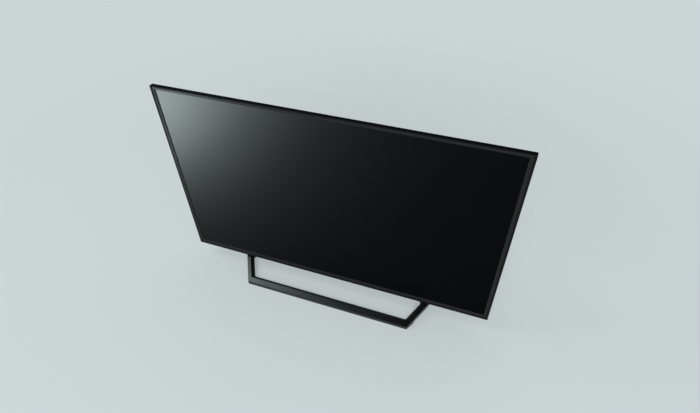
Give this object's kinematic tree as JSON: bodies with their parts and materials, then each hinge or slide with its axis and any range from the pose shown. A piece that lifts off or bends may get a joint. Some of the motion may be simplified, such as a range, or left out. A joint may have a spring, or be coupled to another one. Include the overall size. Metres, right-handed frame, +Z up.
{
  "type": "flat screen tv",
  "caption": "Flat screen television: thin dark bezel round an LCD panel, backlight tray, boards, speakers and rear cover, on an open trapezoid stand frame.",
  "frame": {"origin": "on the floor, under the middle of the stand", "axes": "+X to the viewer's right along the screen, +Y from the screen to the back, +Z up"},
  "size_m": [0.73, 0.17, 0.48],
  "materials": {
    "bezel_plastic": "moulded, satin gloss",
    "screen_glass": "anti-glare coated",
    "cover_plastic": "fine moulded texture",
    "stand_plastic": "satin black",
    "key_plastic": "moulded",
    "black_rubber": "matt",
    "zinc_steel": "galvanised",
    "bracket_steel": "black powder coat",
    "screw_steel": "zinc plated",
    "screw_black": "black zinc",
    "board_green": "solder mask",
    "board_brown": "paper laminate",
    "board_blue": "solder mask",
    "led_bar_board": "white solder mask",
    "clear_lens": "clear acrylic",
    "white_sheet": "diffuse white",
    "flex_film": "polyimide",
    "ribbon_white": "flat cable",
    "wire_red": "insulated wire",
    "lead_blue": "insulated wire",
    "chip_black": "moulded",
    "black_aluminium": "black anodised",
    "plain_aluminium": "mill finish",
    "transformer_tape": "tape",
    "cone_paper": "pressed paper",
    "infrared_window": "smoked acrylic",
    "socket_shell": "nickel plated",
    "phono_metal": "nickel plated brass",
    "inlet_plastic": "moulded",
    "pin_brass": "plated"
  },
  "bodies": {
    "cabinet": {"front_bezel": "bezel_plastic", "lcd_panel": "screen_glass", "source_boards": "board_green", "source_flex_films": "flex_film", "middle_frame": "cover_plastic", "optical_sheets": "white_sheet", "diffuser_plate": "white_sheet", "reflector_sheet": "white_sheet", "led_bars": "led_bar_board", "led_lenses": "clear_lens", "diffuser_pins": "white_sheet", "rear_chassis": "zinc_steel", "frame_screws": "screw_steel", "main_board": "board_green", "main_board_parts": "chip_black", "main_heatsink": "black_aluminium", "power_board": "board_brown", "power_transformers": "transformer_tape", "power_capacitors": "chip_black", "power_heatsink": "plain_aluminium", "timing_board": "board_green", "timing_shield": "zinc_steel", "panel_ribbons": "ribbon_white", "led_harness": "wire_red", "wireless_module": "board_blue", "board_screws": "screw_steel", "speaker_boxes": "cover_plastic", "speaker_baskets": "zinc_steel", "speaker_surrounds": "black_rubber", "speaker_wires": "wire_red", "key_board": "board_green", "key_switches": "chip_black", "infrared_board": "board_green", "infrared_lens": "infrared_window", "rear_cover": "cover_plastic", "cover_screws": "screw_black", "wall_mount_bosses": "zinc_steel", "hdmi_sockets": "socket_shell", "usb_sockets": "socket_shell", "headphone_jack": "chip_black", "phono_jacks": "phono_metal", "lan_socket": "socket_shell", "antenna_socket": "phono_metal", "optical_socket": "chip_black", "mains_inlet": "inlet_plastic", "mains_pins": "pin_brass", "mains_leads": "lead_blue", "stand_front_frame": "stand_plastic", "stand_rear_frame": "stand_plastic", "stand_brackets": "bracket_steel", "stand_screws": "screw_black", "bracket_screws": "screw_steel", "stand_feet": "black_rubber"},
    "power_key": {"power_button": "key_plastic"},
    "input_key": {"input_button": "key_plastic"},
    "rocker_key": {"volume_rocker": "key_plastic"},
    "left_cone": {"left_speaker_cone": "cone_paper"},
    "right_cone": {"right_speaker_cone": "cone_paper"}
  },
  "joints": [
    {"name": "power_press", "type": "slide", "parent": "cabinet", "child": "power_key", "axis": [0, -1, 0], "range_m": [0, 0.0008], "stiffness_N_per_m": 1500},
    {"name": "input_press", "type": "slide", "parent": "cabinet", "child": "input_key", "axis": [0, -1, 0], "range_m": [0, 0.0008], "stiffness_N_per_m": 1500},
    {"name": "volume_rock", "type": "hinge", "parent": "cabinet", "child": "rocker_key", "pos_m": [0.3, 0.00875, 0.186], "axis": [1, 0, 0], "range_deg": [-2.5, 2.5], "stiffness_Nm_per_rad": 0.3},
    {"name": "left_cone_stroke", "type": "slide", "parent": "cabinet", "child": "left_cone", "axis": [0, 0, -1], "range_m": [-0.0006, 0.0006], "stiffness_N_per_m": 1200},
    {"name": "right_cone_stroke", "type": "slide", "parent": "cabinet", "child": "right_cone", "axis": [0, 0, -1], "range_m": [-0.0006, 0.0006], "stiffness_N_per_m": 1200}
  ]
}
